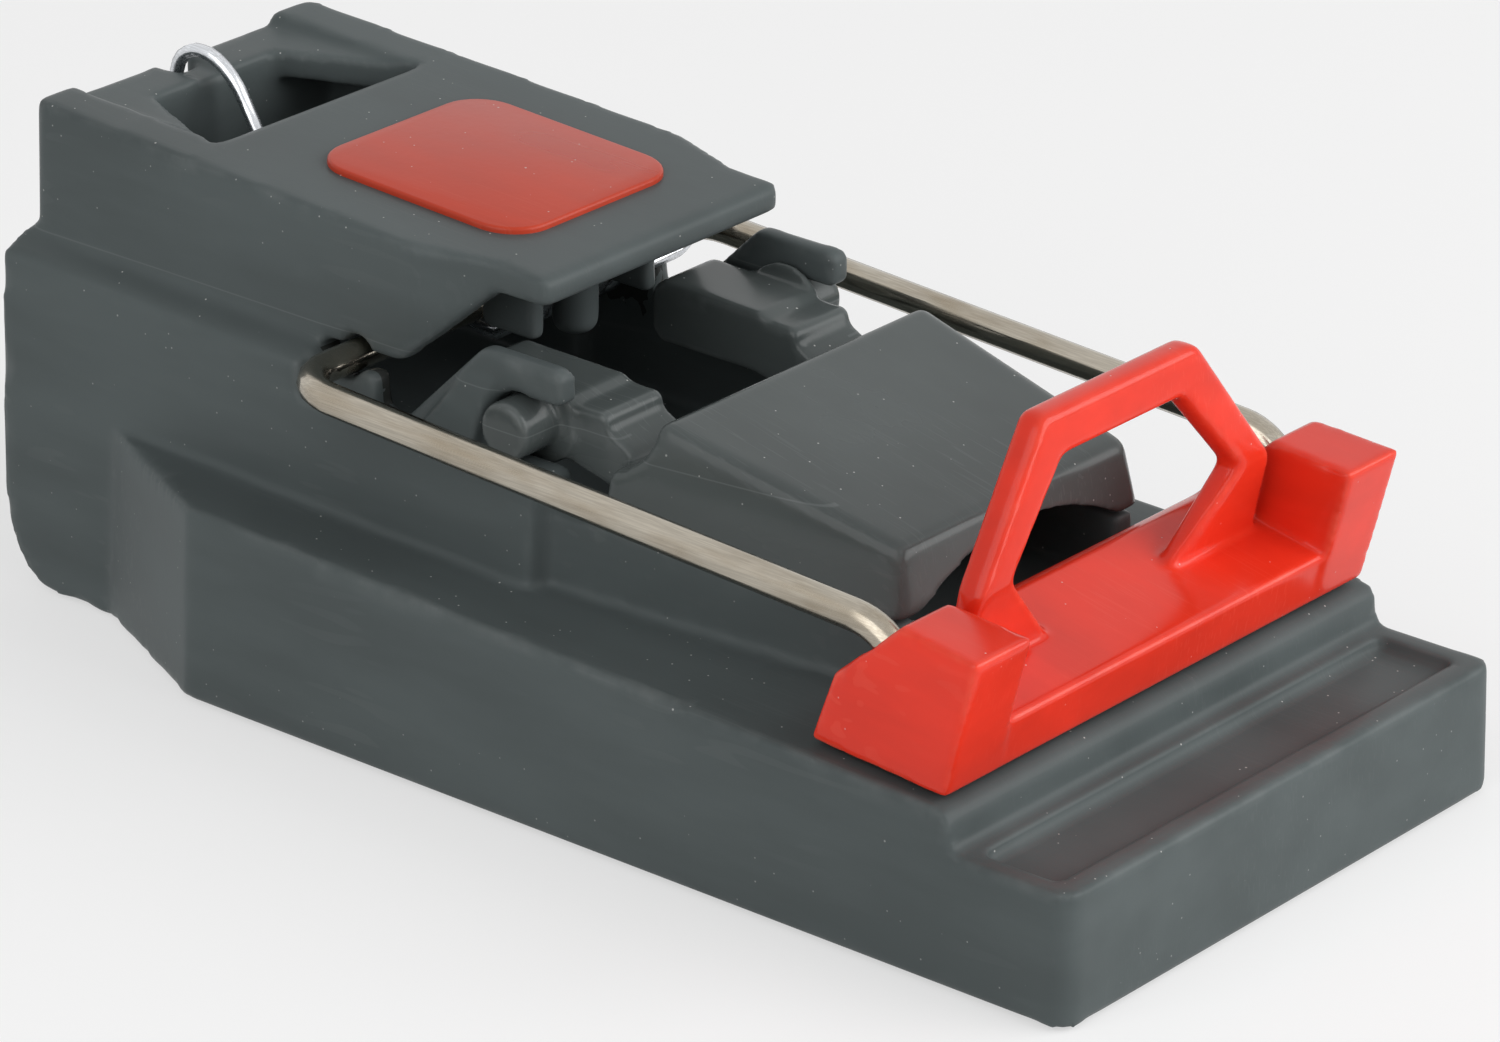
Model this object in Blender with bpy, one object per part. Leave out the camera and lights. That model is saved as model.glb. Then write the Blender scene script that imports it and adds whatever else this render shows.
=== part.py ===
"""Snap mouse trap with a covered bait pedal, shown sprung.

Metres, +Z up. The origin is the centre of the footprint on the floor. The striker rests over
the front deck, towards -Y, and the tower that anchors the spring stands at the rear, +Y.
A place along the trap is given as its depth: the distance behind the front face.
"""
import math

import bmesh
import bpy
from mathutils import Vector

# Whole base
LENGTH = 0.108
WIDTH = 0.0522
DRAFT = 0.027  # how far each outer wall leans in, per metre of height
WALL = 0.0022
PLATE = 0.0022
CORNER_RADIUS = 0.0016
CLEARANCE = 0.0003  # between pieces that turn in, rest on or are moulded round each other
CHAMFER = 0.0003  # small bevels, and the slight fall of tops that aren't quite level
SOFT_EDGE = 0.0008  # radius of the moulding's softer edges

# Front ledge with its shallow tray
LEDGE_DEPTH = 0.0105
LEDGE_HEIGHT = 0.0102
TRAY_WIDTH = 0.0474
TRAY_FRONT = 0.0026
TRAY_LENGTH = 0.0066
TRAY_RECESS = 0.0011

# Deck, which climbs gently to the rear
DECK_HEIGHT = 0.0133
DECK_SLOPE = 0.030
DECK_STEP_RAKE = 0.0004
DECK_EDGE = 0.0015  # radius of the deck's front edge
SKIRT_LENGTH = 0.0820  # full width as far as this, then drawn in to the body
TAPER_LENGTH = 0.0150

# Body under the tower, with sloping shoulders
BODY_WIDTH = 0.0378
BODY_FRONT = 0.0775
SHOULDER_HEIGHT = 0.0270
SHOULDER_LEAN = 0.0005
SHOULDER_FALL = 0.0010  # how much lower the shoulders are in front
RIDGE_RISE = 0.0012
HEEL_HEIGHT = 0.0077
HEEL_LENGTH = 0.0051

# Tower
TOWER_WIDTH = 0.0314
TOWER_SETBACK = 0.0004
TOWER_REAR_HEIGHT = 0.0386
TOWER_FRONT = 0.0577
TOWER_SLOPE = 0.049  # fall of the roof towards the front
TOWER_LEAN = 0.0003
LIP_WIDTH = 0.0272
LIP_LENGTH = 0.0050
LIP_THICKNESS = 0.0022
CHEEK_FRONT = 0.0699
CHEEK_HEIGHT = 0.0273  # of the cheeks' lower edge, over the spring's working leg
CHEEK_TAPER_DEPTH = 0.0687
CHEEK_WALL = 0.0024
ROOF_THICKNESS = 0.0030
REAR_WALL = 0.0047

# Window in the roof, with the channel round it
WINDOW_FRONT_WIDTH = 0.0234
WINDOW_REAR_WIDTH = 0.0133
WINDOW_LENGTH = 0.0108
CHANNEL_WIDTH = 0.0222
CHANNEL_HEIGHT = 0.0375
NOTCH_WIDTH = 0.0032
NOTCH_DEPTH = 0.0004
GROOVE_DEPTH = 0.0017
GROOVE_LENGTH = 0.0065

# Ribs that hang from the roof
RIB_SPACING = 0.0128
RIB_THICKNESS = 0.0014
RIB_HEIGHT = 0.0277
RIB_FRONT = 0.0642
RIB_LENGTH = 0.0055
POST_DIAMETER = 0.0036
POST_DEPTH = 0.0664
POST_HEIGHT = 0.0261

# Walls beside the pedal
BAIT_WALL_FRONT = 0.0245
BAIT_WALL_FRONT_HEIGHT = 0.0190
BAIT_WALL_REAR_HEIGHT = 0.0206
BAIT_WALL_FRONT_WIDTH = 0.0276
BAIT_WALL_REAR_WIDTH = 0.0344
SIDE_WALL_FRONT = 0.0539
SIDE_WALL_HEIGHT = 0.0234
WELL_WIDTH = 0.0294

# Axle of the kill bar, in its saddles
AXLE_DEPTH = 0.0743
AXLE_RISE = 0.0033  # above the side walls
SADDLE_FRONT = 0.0712
SADDLE_THICKNESS = 0.0023
SADDLE_RISE = 0.0028

# Kill bar
BAR_DIAMETER = 0.0024
BAR_SPAN = 0.0454
BAR_SLOPE = 0.0526
REAR_BEND = 0.0040
BAR_FRONT = 0.0215
FRONT_BEND = 0.0050
FRONT_BEND_ANGLE = 45.0
BAR_TAIL = 0.0042

# Striker
STRIKER_FRONT = 0.0117
STRIKER_LENGTH = 0.0126
STRIKER_FRONT_WIDTH = 0.0506
STRIKER_REAR_WIDTH = 0.0480
STRIKER_GAP = 0.0004  # over the deck
BLOCK_HEIGHT = 0.0252
BLOCK_OVERHANG = 0.0026
BLOCK_TOP_LENGTH = 0.0071
BLOCK_WIDTH = 0.0066
RAIL_FRONT_HEIGHT = 0.0177
RAIL_REAR_HEIGHT = 0.0198
RAIL_TOP_LENGTH = 0.0097

# Finger loop on the striker
LOOP_HEIGHT = 0.0363
LOOP_TOP_WIDTH = 0.0172
LOOP_KNEE_WIDTH = 0.0356
LOOP_THICKNESS = 0.0028
LOOP_FRONT = 0.0152
LOOP_BEVEL = 0.0006
HOLE_HEIGHT = 0.0325
HOLE_TOP_WIDTH = 0.0140
HOLE_KNEE_WIDTH = 0.0250
HOLE_KNEE_HEIGHT = 0.0260
HOLE_FOOT_WIDTH = 0.0136

# Pedal: lid, arms and pins
PIN_DEPTH = 0.0577
PIN_DIAMETER = 0.0045
PIN_SPAN = 0.0366
COLLAR_RADIUS = 0.0036
COLLAR_THICKNESS = 0.0006
ARM_SPACING = 0.0216
ARM_WIDTH = 0.0066
ARM_REAR = 0.0654
ARM_TOP_RISE = 0.0024  # above the pins' axis
ARM_DROP = 0.0027
ARM_REAR_CHAMFER = 0.0009
ARM_STEP = 0.0549
ARM_FRONT = 0.0515
ARM_FRONT_HEIGHT = 0.0018
ARM_NECK = 0.0023  # height of the arm where it meets the lid
LID_FRONT = 0.0240
LID_LENGTH = 0.0253
LID_FRONT_WIDTH = 0.0282
LID_REAR_WIDTH = 0.0352
LID_FRONT_DEPTH = 0.0054
LID_REAR_DEPTH = 0.0086
LID_FLARE = 0.18
LID_REAR_SWEEP = 0.0036
LID_SWEEP_FALL = 0.0044
LID_WALL = 0.0015
LID_BEVEL = 0.0008
ARCH_WIDTH = 0.0242
ARCH_RISE = 0.0034

# Ears that hook over the pins
EAR_THICKNESS = 0.0020
EAR_FRONT = 0.0536
EAR_REAR = 0.0688
EAR_HEIGHT = 0.0311
EAR_TIP_RISE = 0.0024  # of the nose's underside, above the pins' axis
EAR_PEAK = 0.0612
GUSSET_FRONT = 0.0610
GUSSET_REAR = 0.0676
GUSSET_RAKE = 0.0014  # how far its front edge leans forward

# Torsion spring
SPRING_WIRE = 0.0010
COIL_DIAMETER = 0.0054
COIL_TURNS = 7
COIL_POINTS = 10
COIL_START = -0.0006
COIL_END = 0.0112
LEG_BEND = 0.0009
HOOK_RISE = 0.0014  # of the bend's crown, over the wall it hooks round
HOOK_BEND = 0.0022
HOOK_END = 0.0045  # how far the hook's end reaches down outside
HOOK_LEG = 0.0041  # how far down the leg is bent forward inside
HOOK_RUN = 0.0033

AXLE_HEIGHT = SIDE_WALL_HEIGHT + AXLE_RISE
PIN_HEIGHT = SIDE_WALL_HEIGHT + CLEARANCE + PIN_DIAMETER / 2
TOWER_REAR = LENGTH - TOWER_SETBACK
WELL_REAR = TOWER_REAR - REAR_WALL
SKIRT_END = SKIRT_LENGTH + TAPER_LENGTH
FAR = 0.2  # how far cutters reach past the trap


def deck(depth):
    """Height of the deck at a depth."""
    return DECK_HEIGHT + DECK_SLOPE * (depth - LEDGE_DEPTH)


def roof(depth):
    """Height of the tower's sloping top at a depth."""
    return TOWER_REAR_HEIGHT - TOWER_SLOPE * (TOWER_REAR - depth)


def place(x, depth, z):
    """Position of a point given by its depth."""
    return (x, depth - LENGTH / 2, z)


# ---- modelling tools ---------------------------------------------------------


def material(name, colour, roughness, metallic=0.0):
    made = bpy.data.materials.new(name)
    made.use_nodes = True
    shader = made.node_tree.nodes["Principled BSDF"]
    shader.inputs["Base Color"].default_value = (*colour, 1.0)
    shader.inputs["Roughness"].default_value = roughness
    shader.inputs["Metallic"].default_value = metallic
    return made


def loft(name, first, last):
    """Closed solid between two rings with the same number of points."""
    bm = bmesh.new()
    rings = [[bm.verts.new(point) for point in ring] for ring in (first, last)]
    count = len(first)
    bm.faces.new(rings[0])
    bm.faces.new(rings[1])
    for i in range(count):
        j = (i + 1) % count
        bm.faces.new((rings[0][i], rings[0][j], rings[1][j], rings[1][i]))
    bmesh.ops.recalc_face_normals(bm, faces=bm.faces)
    mesh = bpy.data.meshes.new(name)
    bm.to_mesh(mesh)
    bm.free()
    made = bpy.data.objects.new(name, mesh)
    bpy.context.collection.objects.link(made)
    return made


def slab(name, profile, half_width, left=None):
    """Prism across the trap from a profile of (depth, height) points."""
    start = -half_width if left is None else left
    return loft(
        name,
        [place(start, depth, z) for depth, z in profile],
        [place(half_width, depth, z) for depth, z in profile],
    )


def column(name, low, high, z_low, z_high):
    """Upright solid between two plans of (x, depth) points."""
    return loft(
        name,
        [place(x, depth, z_low) for x, depth in low],
        [place(x, depth, z_high) for x, depth in high],
    )


def symmetric(right_side):
    """Plan with both sides, from the (half width, depth) points of its right side."""
    return right_side + [(-x, depth) for x, depth in reversed(right_side)]


def finished(target):
    """Replace an object's mesh with what its modifiers make of it."""
    graph = bpy.context.evaluated_depsgraph_get()
    mesh = bpy.data.meshes.new_from_object(target.evaluated_get(graph))
    target.modifiers.clear()
    target.data = mesh
    bm = bmesh.new()
    bm.from_mesh(mesh)
    bmesh.ops.triangulate(bm, faces=[face for face in bm.faces if len(face.verts) > 4])
    bm.to_mesh(mesh)
    bm.free()
    return target


def combine(target, operation, *others):
    """Join, cut or intersect a solid with others, which are used up."""
    for other in others:
        step = target.modifiers.new(operation, "BOOLEAN")
        step.operation = operation
        step.object = other
        finished(target)
        bpy.data.objects.remove(other)
    return target


def join(target, *others):
    return combine(target, "UNION", *others)


def cut(target, *others):
    return combine(target, "DIFFERENCE", *others)


def keep(target, *others):
    return combine(target, "INTERSECT", *others)


def bevel(target, width, segments=2, angle=30.0):
    step = target.modifiers.new("Rounded edges", "BEVEL")
    step.width = width
    step.segments = segments
    step.limit_method = "ANGLE"
    step.angle_limit = math.radians(angle)
    return finished(target)


def rounded(outline, radii, steps=3):
    """Outline with each corner turned into an arc of its own radius."""
    result = []
    count = len(outline)
    for i, (corner, radius) in enumerate(zip(outline, radii)):
        if radius == 0:
            result.append(corner)
            continue
        arms = []
        for other in (outline[i - 1], outline[(i + 1) % count]):
            length = math.dist(corner, other)
            arms.append([(b - a) / length for a, b in zip(corner, other)])
        turn = math.acos(max(-1.0, min(1.0, sum(a * b for a, b in zip(*arms)))))
        reach = radius / math.tan(turn / 2)
        bisector = [a + b for a, b in zip(*arms)]
        scale = radius / math.sin(turn / 2) / math.hypot(*bisector)
        centre = [c + b * scale for c, b in zip(corner, bisector)]
        start = [c + a * reach - m for c, a, m in zip(corner, arms[0], centre)]
        end = [c + a * reach - m for c, a, m in zip(corner, arms[1], centre)]
        sweep = math.pi - turn
        for k in range(steps + 1):
            share = k / steps
            first = math.sin((1 - share) * sweep) / math.sin(sweep)
            last = math.sin(share * sweep) / math.sin(sweep)
            result.append(tuple(m + s * first + e * last for m, s, e in zip(centre, start, end)))
    return result


def circle(radius, sides=24):
    turns = [2 * math.pi * k / sides for k in range(sides)]
    return [(radius * math.cos(turn), radius * math.sin(turn)) for turn in turns]


def cylinder(name, radius, left, right, depth, z):
    return slab(name, [(depth + u, z + v) for u, v in circle(radius)], right, left)


def tube(name, path, radius, resolution):
    """Wire along a path of points, with flat ends."""
    curve = bpy.data.curves.new(name, "CURVE")
    curve.dimensions = "3D"
    curve.bevel_depth = radius
    curve.bevel_resolution = resolution
    curve.use_fill_caps = True
    spline = curve.splines.new("POLY")
    spline.points.add(len(path) - 1)
    for point, position in zip(spline.points, path):
        point.co = (*position, 1.0)
    made = bpy.data.objects.new(name, curve)
    bpy.context.collection.objects.link(made)
    return made


def dressed(target, look, smooth_angle=35.0):
    """Give a finished solid its material and its shading."""
    target.data.materials.clear()
    target.data.materials.append(look)
    target.data.shade_smooth()
    target.data.set_sharp_from_angle(angle=math.radians(smooth_angle))
    return target


# ---- base --------------------------------------------------------------------


def skirt_plan(inset):
    half = WIDTH / 2 - inset
    body = BODY_WIDTH / 2 - inset
    side = [(half, inset), (half, SKIRT_LENGTH), (body, SKIRT_END), (body, SKIRT_END + WALL)]
    plan = symmetric(side)
    return rounded(plan, [CORNER_RADIUS, CORNER_RADIUS, 0, 0, 0, 0, CORNER_RADIUS, CORNER_RADIUS])


def skirt():
    """Low hollow box with the ledge in front and the deck behind it."""
    top = deck(LENGTH) + PLATE
    body = column("base", skirt_plan(0), skirt_plan(DRAFT * top), 0, top)
    air = [
        (-FAR, FAR),
        (-FAR, LEDGE_HEIGHT),
        (LEDGE_DEPTH, LEDGE_HEIGHT),
        (LEDGE_DEPTH + DECK_STEP_RAKE, deck(LEDGE_DEPTH)),
        (LENGTH, deck(LENGTH)),
        (LENGTH, FAR),
    ]
    return cut(body, slab("air over the deck", rounded(air, [0, 0, CHAMFER, DECK_EDGE, 0, 0]), FAR))


def body_block():
    """Rear block with its shoulders, under the tower."""

    def section(depth, fall):
        half = BODY_WIDTH / 2
        ridge = TOWER_WIDTH / 2
        shoulder = SHOULDER_HEIGHT - fall
        side = [(half, 0), (half, deck(BODY_FRONT)), (half - SHOULDER_LEAN, shoulder)]
        side.append((ridge, shoulder + RIDGE_RISE))
        outline = rounded(symmetric(side), [0, 0, SOFT_EDGE, 0, 0, SOFT_EDGE, 0, 0], 2)
        return [place(x, depth, z) for x, z in outline]

    block = loft("body", section(BODY_FRONT, SHOULDER_FALL), section(LENGTH, 0))
    corner = [(LENGTH + WALL, HEEL_HEIGHT), (LENGTH + WALL, -WALL), (LENGTH - HEEL_LENGTH, -WALL)]
    steps = 5
    for k in range(steps + 1):
        turn = math.pi / 2 * k / steps
        depth = LENGTH - HEEL_LENGTH + HEEL_LENGTH * math.sin(turn)
        corner.append((depth, HEEL_HEIGHT * (1 - math.cos(turn))))
    return cut(block, slab("rounded heel", corner, FAR))


def tower():
    """Hood over the spring, open in front under its lip."""
    half = TOWER_WIDTH / 2
    lip = LIP_WIDTH / 2
    side = [(lip, TOWER_FRONT), (lip, TOWER_FRONT + LIP_LENGTH)]
    side += [(half, CHEEK_TAPER_DEPTH), (half, TOWER_REAR)]
    radii = [SOFT_EDGE, 0, 0, CORNER_RADIUS, CORNER_RADIUS, 0, 0, SOFT_EDGE]
    low = rounded(symmetric(side), radii)
    high = rounded(symmetric([(x - TOWER_LEAN, depth) for x, depth in side]), radii)
    hood = column("tower", low, high, SHOULDER_HEIGHT - WALL, TOWER_REAR_HEIGHT + WALL)
    ridge = SHOULDER_HEIGHT - SHOULDER_FALL + RIDGE_RISE
    lip_under = roof(TOWER_FRONT) - LIP_THICKNESS
    outline = [
        (TOWER_FRONT, lip_under),
        (TOWER_FRONT + LIP_LENGTH, lip_under),
        (CHEEK_FRONT, CHEEK_HEIGHT),
        (BODY_FRONT, ridge),
        (BODY_FRONT, SHOULDER_HEIGHT - 2 * WALL),
        (TOWER_REAR, SHOULDER_HEIGHT - 2 * WALL),
        (TOWER_REAR, roof(TOWER_REAR)),
        (TOWER_FRONT, roof(TOWER_FRONT)),
    ]
    radii = [SOFT_EDGE / 2, 0, SOFT_EDGE, 0, 0, 0, SOFT_EDGE, SOFT_EDGE]
    return keep(hood, slab("tower outline", rounded(outline, radii), FAR))


def pedal_wall(side):
    """Wall beside the bait, stepping out and up to the one that carries the pins."""
    well = WELL_WIDTH / 2
    front = BAIT_WALL_FRONT_WIDTH / 2
    rear = BAIT_WALL_REAR_WIDTH / 2
    outer = BODY_WIDTH / 2
    end = BODY_FRONT + WALL
    plan = [
        (side * (front - WALL), BAIT_WALL_FRONT),
        (side * front, BAIT_WALL_FRONT),
        (side * rear, SIDE_WALL_FRONT),
        (side * outer, SIDE_WALL_FRONT + (outer - rear) / 2),
        (side * outer, end),
        (side * well, end),
        (side * well, SIDE_WALL_FRONT),
    ]
    foot = DECK_HEIGHT - PLATE / 2
    wall = column("pedal wall", plan, plan, foot, SIDE_WALL_HEIGHT + WALL)
    outline = [
        (BAIT_WALL_FRONT - WALL, foot - WALL),
        (end + WALL, foot - WALL),
        (end + WALL, SIDE_WALL_HEIGHT),
        (SIDE_WALL_FRONT, SIDE_WALL_HEIGHT),
        (SIDE_WALL_FRONT, BAIT_WALL_REAR_HEIGHT),
        (BAIT_WALL_FRONT, BAIT_WALL_FRONT_HEIGHT),
        (BAIT_WALL_FRONT - WALL, BAIT_WALL_FRONT_HEIGHT),
    ]
    return keep(wall, slab("wall outline", rounded(outline, [0, 0, 0, SOFT_EDGE, 0, 0, 0]), FAR))


def ear(side):
    """Hook over a pedal pin, with the gusset that braces it from behind."""
    inner = ARM_SPACING / 2 + ARM_WIDTH / 2 + 2 * CLEARANCE
    outer = inner + EAR_THICKNESS
    foot = SIDE_WALL_HEIGHT - PLATE / 2
    seat = PIN_DIAMETER / 2 + CLEARANCE
    tip = PIN_HEIGHT + EAR_TIP_RISE
    hook = [
        (EAR_REAR, foot),
        (EAR_REAR, SIDE_WALL_HEIGHT),
        (EAR_PEAK, EAR_HEIGHT),
        (EAR_FRONT, EAR_HEIGHT),
        (EAR_FRONT, tip),
    ]
    radii = [0, 0, CHAMFER, SOFT_EDGE, CHAMFER]
    start = math.pi - math.asin(EAR_TIP_RISE / seat)
    steps = 8
    for k in range(steps + 1):
        turn = start * (1 - k / steps)
        hook.append((PIN_DEPTH + seat * math.cos(turn), PIN_HEIGHT + seat * math.sin(turn)))
    hook.append((PIN_DEPTH + seat, foot))
    radii += [0] * (len(hook) - len(radii))
    made = slab("ear", rounded(hook, radii), side * outer, side * inner)
    wall = BODY_WIDTH / 2
    low = [(inner, GUSSET_FRONT), (wall, GUSSET_FRONT), (wall, GUSSET_REAR), (inner, GUSSET_REAR)]
    front = GUSSET_FRONT - GUSSET_RAKE
    top = outer - CHAMFER
    high = [(inner, front), (top, front), (top, EAR_PEAK - CHAMFER), (inner, EAR_PEAK - CHAMFER)]
    gusset = column(
        "gusset",
        [(side * x, depth) for x, depth in low],
        [(side * x, depth) for x, depth in high],
        foot,
        EAR_HEIGHT - CHAMFER,
    )
    return join(made, gusset)


def saddle(side):
    """Block under the axle, from the side wall's top back into the body."""
    inner = WELL_WIDTH / 2
    foot = SIDE_WALL_HEIGHT - PLATE / 2
    top = SIDE_WALL_HEIGHT + SADDLE_RISE
    rear = BODY_FRONT + WALL
    outline = [(SADDLE_FRONT, foot), (rear, foot), (rear, top), (SADDLE_FRONT, top)]
    return slab("saddle", outline, side * (inner + SADDLE_THICKNESS), side * inner)


def hanging_rib(side):
    middle = side * RIB_SPACING / 2
    top = roof(RIB_FRONT) - ROOF_THICKNESS / 2
    rear = RIB_FRONT + RIB_LENGTH
    outline = [(RIB_FRONT, RIB_HEIGHT), (rear, RIB_HEIGHT), (rear, top), (RIB_FRONT, top)]
    return slab("hanging rib", outline, middle + RIB_THICKNESS / 2, middle - RIB_THICKNESS / 2)


def hanging_post():
    ring = [(u, POST_DEPTH + v) for u, v in circle(POST_DIAMETER / 2, 16)]
    post = column("hanging post", ring, ring, POST_HEIGHT, roof(POST_DEPTH) - ROOF_THICKNESS / 2)
    return bevel(post, SOFT_EDGE, 2, 60)


def underside_hollow():
    """Space under the deck, open to the floor."""
    inner = WIDTH / 2 - WALL
    body = BODY_WIDTH / 2 - WALL
    rear = LENGTH - HEEL_LENGTH - WALL
    slope = TAPER_LENGTH / (WIDTH - BODY_WIDTH) * 2
    lean = WALL * (math.hypot(1, slope) - slope)
    plan = symmetric([(inner, WALL), (inner, SKIRT_LENGTH - lean), (body, SKIRT_END - lean), (body, rear)])
    lean_in = DRAFT * DECK_HEIGHT
    high = [(x - math.copysign(lean_in, x), depth) for x, depth in plan]
    space = column("underside", plan, high, -WALL, deck(LENGTH))
    tray_floor = LEDGE_HEIGHT - TRAY_RECESS
    outline = [
        (0, -FAR),
        (0, tray_floor - PLATE),
        (LEDGE_DEPTH, tray_floor - PLATE),
        (LEDGE_DEPTH + PLATE, deck(LEDGE_DEPTH) - PLATE),
        (LENGTH, deck(LENGTH) - PLATE),
        (LENGTH, -FAR),
    ]
    return keep(space, slab("underside outline", outline, FAR))


def tower_hollow():
    """Space for the spring, from the deck up to the roof, open in front."""
    half = TOWER_WIDTH / 2 - CHEEK_WALL
    lip = LIP_WIDTH / 2 - CHEEK_WALL
    front = TOWER_FRONT + LIP_LENGTH / 2
    side = [(lip, front), (lip, TOWER_FRONT + LIP_LENGTH)]
    side += [(half, CHEEK_TAPER_DEPTH), (half, WELL_REAR)]
    space = column("tower hollow", symmetric(side), symmetric(side), DECK_HEIGHT, FAR)
    under = roof(TOWER_FRONT) - LIP_THICKNESS
    outline = [
        (front, deck(front) + CHAMFER),
        (WELL_REAR, deck(WELL_REAR) + CHAMFER),
        (WELL_REAR, roof(WELL_REAR) - ROOF_THICKNESS),
        (CHEEK_TAPER_DEPTH, roof(CHEEK_TAPER_DEPTH) - ROOF_THICKNESS),
        (TOWER_FRONT + LIP_LENGTH, under),
        (front, under - WALL / 2),
    ]
    return keep(space, slab("hollow outline", outline, FAR))


def window():
    front = WELL_REAR - WINDOW_LENGTH
    plan = symmetric([(WINDOW_FRONT_WIDTH / 2, front), (WINDOW_REAR_WIDTH / 2, WELL_REAR)])
    bottom = roof(front) - 2 * ROOF_THICKNESS
    return column("window", plan, plan, bottom, FAR)


def box(name, half_width, depths, heights):
    (front, rear), (low, high) = depths, heights
    return slab(name, [(front, low), (rear, low), (rear, high), (front, high)], half_width)


def build_base(look):
    base = join(skirt(), body_block(), tower())
    for side in (-1, 1):
        join(base, pedal_wall(side), ear(side), saddle(side))
    cut(base, underside_hollow(), tower_hollow(), window())
    channel_front = WELL_REAR - WINDOW_LENGTH
    tray_rear = TRAY_FRONT + TRAY_LENGTH
    notch_low = CHANNEL_HEIGHT - NOTCH_DEPTH
    groove_low = CHANNEL_HEIGHT - GROOVE_LENGTH
    axle_room = BAR_DIAMETER / 2 + CLEARANCE
    cut(
        base,
        box("channel", CHANNEL_WIDTH / 2, (channel_front, FAR), (CHANNEL_HEIGHT, FAR)),
        box("tray", TRAY_WIDTH / 2, (TRAY_FRONT, tray_rear), (LEDGE_HEIGHT - TRAY_RECESS, FAR)),
        box("notch", NOTCH_WIDTH / 2, (WELL_REAR - WALL, FAR), (notch_low, FAR)),
        box("groove", NOTCH_WIDTH / 2, (TOWER_REAR - GROOVE_DEPTH, FAR), (groove_low, FAR)),
        cylinder("axle room", axle_room, -BODY_WIDTH, BODY_WIDTH, AXLE_DEPTH, AXLE_HEIGHT),
    )
    join(base, hanging_rib(-1), hanging_rib(1), hanging_post())
    return dressed(base, look)


# ---- kill bar and striker ----------------------------------------------------


def bar_path(tail=BAR_TAIL):
    """Centre line of the wire: down-turned tail, arm, axle, arm, down-turned tail."""
    half = BAR_SPAN / 2
    steps = 6
    right = []
    for k in range(steps + 1):
        turn = math.pi / 2 * k / steps
        x = half - REAR_BEND + REAR_BEND * math.sin(turn)
        depth = AXLE_DEPTH - REAR_BEND * (1 - math.cos(turn))
        right.append((x, depth, AXLE_HEIGHT - BAR_SLOPE * (AXLE_DEPTH - depth)))
    level = AXLE_HEIGHT - BAR_SLOPE * (AXLE_DEPTH - BAR_FRONT)
    lean = math.atan(BAR_SLOPE)
    final = math.radians(FRONT_BEND_ANGLE)
    for k in range(steps + 1):
        turn = lean + (final - lean) * k / steps
        depth = BAR_FRONT - FRONT_BEND * (math.sin(turn) - math.sin(lean))
        right.append((half, depth, level - FRONT_BEND * (math.cos(lean) - math.cos(turn))))
    x, depth, z = right[-1]
    right.append((x, depth - tail * math.cos(final), z - tail * math.sin(final)))
    left = [(-x, depth, z) for x, depth, z in reversed(right)]
    return [place(*point) for point in left + right]


def build_kill_bar(look):
    return dressed(finished_curve(tube("kill_bar", bar_path(), BAR_DIAMETER / 2, 4)), look)


def finished_curve(curve_object):
    """Turn a bevelled curve into a mesh object of the same name."""
    name = curve_object.name
    graph = bpy.context.evaluated_depsgraph_get()
    mesh = bpy.data.meshes.new_from_object(curve_object.evaluated_get(graph))
    bpy.data.objects.remove(curve_object)
    bm = bmesh.new()
    bm.from_mesh(mesh)
    bmesh.ops.remove_doubles(bm, verts=bm.verts, dist=1e-6)
    bmesh.ops.recalc_face_normals(bm, faces=bm.faces)
    bm.to_mesh(mesh)
    bm.free()
    made = bpy.data.objects.new(name, mesh)
    bpy.context.collection.objects.link(made)
    return made


def striker_floor(depth):
    return deck(depth) + STRIKER_GAP


def striker_blocks():
    """The thick ends, which hold the tails of the kill bar."""
    rear = STRIKER_FRONT + STRIKER_LENGTH
    top_front = STRIKER_FRONT - BLOCK_OVERHANG
    top_rear = top_front + BLOCK_TOP_LENGTH
    outline = [
        (STRIKER_FRONT, striker_floor(STRIKER_FRONT)),
        (rear, striker_floor(rear)),
        (rear - (rear - top_rear) / 4, RAIL_REAR_HEIGHT),
        (top_rear, BLOCK_HEIGHT),
        (top_front, BLOCK_HEIGHT - 2 * CHAMFER),
    ]
    blocks = []
    for side in (-1, 1):
        block = slab("striker block", outline, side * FAR, side * (STRIKER_FRONT_WIDTH / 2 - BLOCK_WIDTH))
        ends = [
            (0, top_front - WALL),
            (side * STRIKER_FRONT_WIDTH / 2, top_front - WALL),
            (side * STRIKER_REAR_WIDTH / 2, rear + WALL),
            (0, rear + WALL),
        ]
        keep(block, column("striker end", ends, ends, 0, FAR))
        blocks.append(block)
    return blocks


def striker_rail():
    rear = STRIKER_FRONT + STRIKER_LENGTH
    crest = STRIKER_FRONT + RAIL_TOP_LENGTH
    outline = [
        (STRIKER_FRONT, striker_floor(STRIKER_FRONT)),
        (rear, striker_floor(rear)),
        (rear - (rear - crest) / 2, RAIL_REAR_HEIGHT - 2 * CHAMFER),
        (crest, RAIL_REAR_HEIGHT),
        (STRIKER_FRONT - BLOCK_OVERHANG / 4, RAIL_FRONT_HEIGHT),
    ]
    return slab("striker", outline, STRIKER_FRONT_WIDTH / 2 - BLOCK_WIDTH / 2)


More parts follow.
